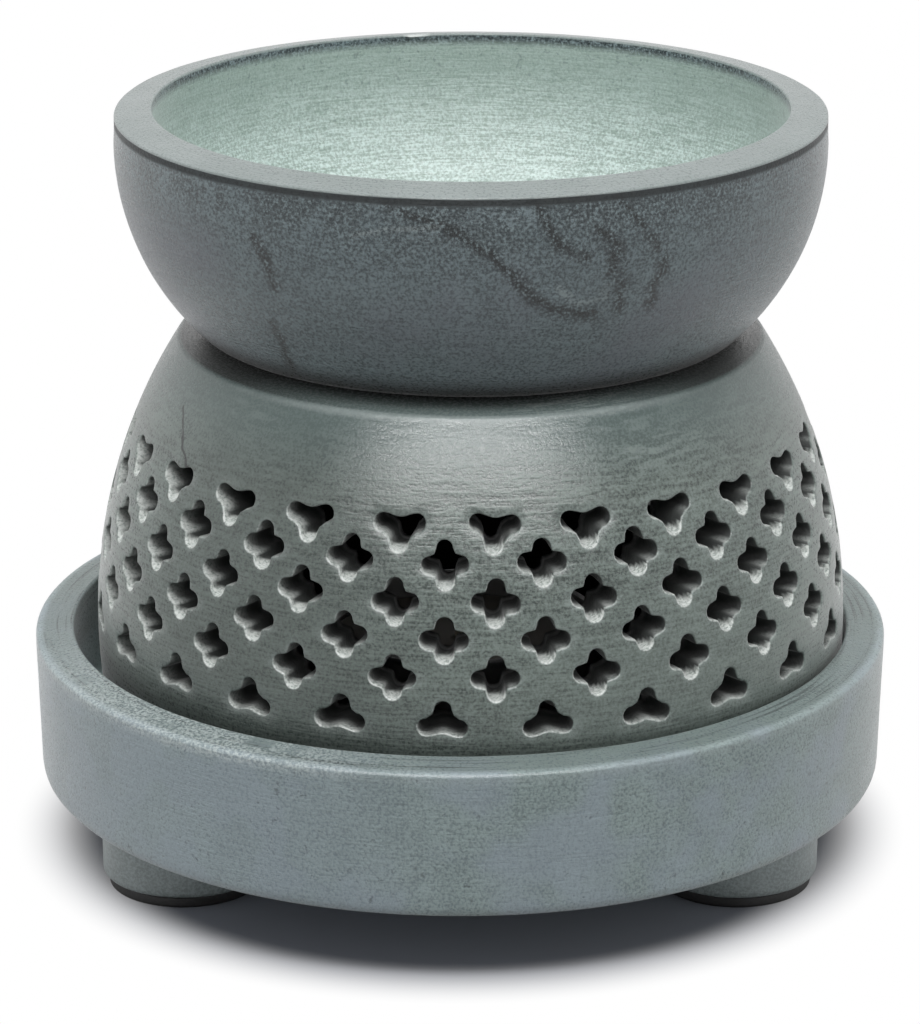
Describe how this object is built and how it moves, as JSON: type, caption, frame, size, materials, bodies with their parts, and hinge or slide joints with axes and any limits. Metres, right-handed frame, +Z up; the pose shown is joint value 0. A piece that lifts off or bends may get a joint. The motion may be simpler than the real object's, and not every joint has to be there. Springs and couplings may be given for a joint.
{
  "type": "essential oil burner",
  "caption": "Soapstone oil burner: a loose bowl stands on a pierced domed chamber that sits in a footed tray and holds a tealight to warm water and oil.",
  "frame": {"origin": "under the middle of the tray, on the surface that the pads stand on", "axes": "+Z up, the front of the burner faces -Y"},
  "size_m": [0.12, 0.12, 0.1055],
  "materials": {
    "soapstone_bowl": "honed",
    "soapstone_body": "honed",
    "soapstone_tray": "honed",
    "soapstone_feet": "honed",
    "black_pad": "matte",
    "cup_metal": "bright",
    "candle_wax": "satin",
    "wick_cotton": "waxed",
    "sustainer_metal": "plain"
  },
  "bodies": {
    "base": {"base_tray": "soapstone_tray", "foot_front_left": "soapstone_feet", "foot_front_right": "soapstone_feet", "foot_rear": "soapstone_feet", "foot_pad_front_left": "black_pad", "foot_pad_front_right": "black_pad", "foot_pad_rear": "black_pad"},
    "body": {"pierced_body": "soapstone_body"},
    "bowl": {"oil_bowl": "soapstone_bowl"},
    "tealight": {"tealight_cup": "cup_metal", "tealight_wax": "candle_wax", "tealight_wick": "wick_cotton", "wick_sustainer": "sustainer_metal"}
  },
  "joints": [
    {"name": "body_lift", "type": "slide", "parent": "base", "child": "body", "axis": [0, 0, 1], "range_m": [0, 0.08]},
    {"name": "bowl_lift", "type": "slide", "parent": "body", "child": "bowl", "axis": [0, 0, 1], "range_m": [0, 0.05]},
    {"name": "tealight_lift", "type": "slide", "parent": "base", "child": "tealight", "axis": [0, 0, 1], "range_m": [0, 0.025]}
  ]
}
